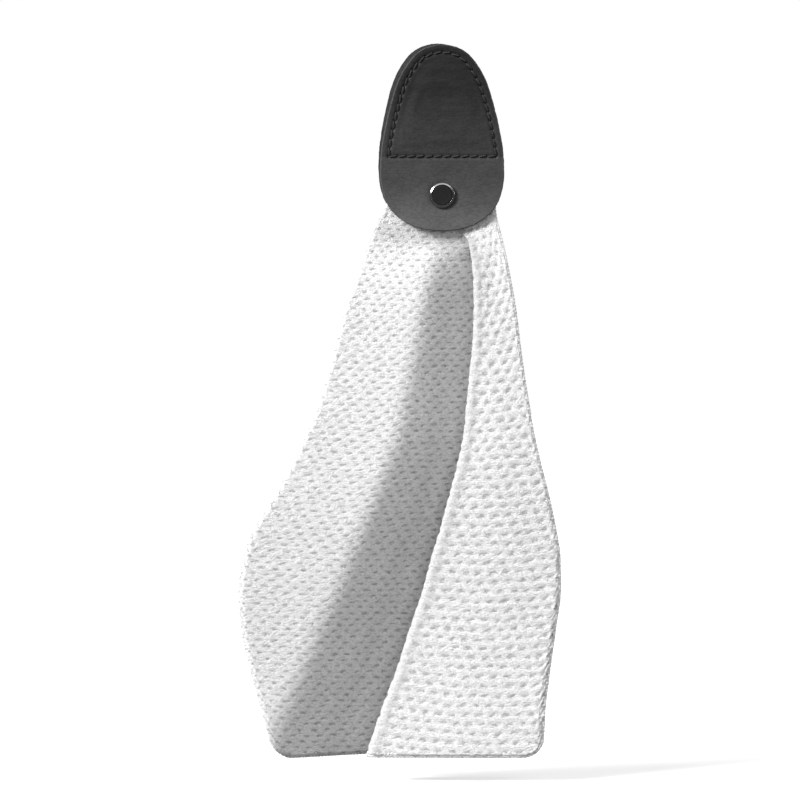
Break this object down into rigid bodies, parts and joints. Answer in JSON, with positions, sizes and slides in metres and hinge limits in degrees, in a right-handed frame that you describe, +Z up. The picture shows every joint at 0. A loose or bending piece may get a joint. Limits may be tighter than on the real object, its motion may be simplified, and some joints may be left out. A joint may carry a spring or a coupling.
{
  "type": "magnetic golf towel",
  "caption": "White waffle golf towel gathered into an egg-shaped two-ply leather patch with a hidden magnet above a press snap that lets the towel come off.",
  "frame": {"origin": "centre of the hidden magnet, on the rear face of the rear leather ply, which lies against the metal it sticks to", "axes": "+Z up along the patch towards its narrow end, +Y out of the rear (magnetic) face, the front of the patch faces -Y"},
  "size_m": [0.1566, 0.0379, 0.3462],
  "materials": {
    "hide": "matte",
    "foam": "matte",
    "magnet": "satin",
    "thread": "satin",
    "gunmetal": "polished",
    "cap_black": "satin",
    "plated": "satin",
    "spring_wire": "satin",
    "microfibre": "matte",
    "hem_thread": "matte"
  },
  "bodies": {
    "patch": {"front_panel": "hide", "rear_panel": "hide", "magnet_spacer": "foam", "magnet_disc": "magnet", "arch_needle_thread": "thread", "cross_needle_thread": "thread", "arch_bobbin_thread": "thread", "cross_bobbin_thread": "thread"},
    "front_flap": {"front_flap": "hide", "snap_cap_rim": "gunmetal", "snap_cap_face": "cap_black", "snap_socket": "plated", "snap_spring_ring": "spring_wire"},
    "rear_flap": {"rear_flap": "hide", "snap_stud": "plated", "snap_post": "gunmetal"},
    "towel": {"towel_cloth": "microfibre", "hem_left": "hem_thread", "hem_right": "hem_thread", "hem_bottom": "hem_thread", "towel_eyelet": "gunmetal", "eyelet_washer": "gunmetal"}
  },
  "joints": [
    {"name": "front_flap_bend", "type": "hinge", "parent": "patch", "child": "front_flap", "pos_m": [0, -0.0062, -0.0238], "axis": [-1, 0, 0], "range_deg": [0, 120]},
    {"name": "rear_flap_bend", "type": "hinge", "parent": "patch", "child": "rear_flap", "pos_m": [0, 0, -0.0238], "axis": [1, 0, 0], "range_deg": [0, 75]},
    {"name": "towel_swivel", "type": "hinge", "parent": "rear_flap", "child": "towel", "pos_m": [0, -0.0031, -0.0411], "axis": [0, 1, 0], "range_deg": [-18, 18]}
  ]
}
